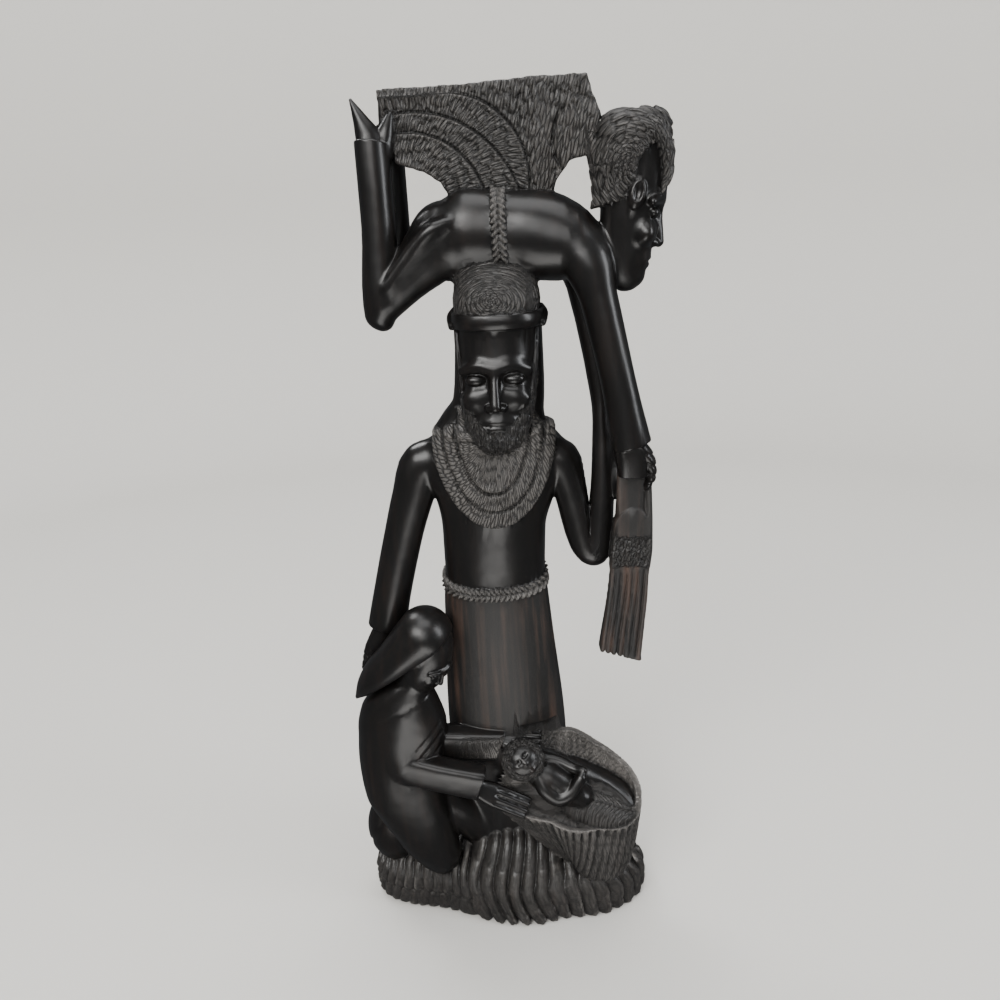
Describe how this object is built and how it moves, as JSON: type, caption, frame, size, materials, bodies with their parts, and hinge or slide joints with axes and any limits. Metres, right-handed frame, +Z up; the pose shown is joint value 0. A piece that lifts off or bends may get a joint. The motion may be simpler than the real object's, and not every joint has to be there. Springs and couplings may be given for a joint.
{
  "type": "wood sculpture",
  "caption": "Carved ebony group in one piece: a winged figure lies over a standing man's head, a kneeling woman and an infant in a basket below, on a ribbed oval mound",
  "frame": {"origin": "middle of the flat underside of the mound", "axes": "+Z up along the figures, front with the faces of the man and the infant towards -Y, +X to the right of a viewer in front, where the winged figure looks"},
  "size_m": [0.1552, 0.0625, 0.398],
  "materials": {
    "ebony": "black ebony, robes and skin oiled and hand polished, hair, wings, collar, basket and mound left from the chisel and greyer"
  },
  "bodies": {
    "root": {"ebony_family_group": "ebony"}
  },
  "joints": []
}
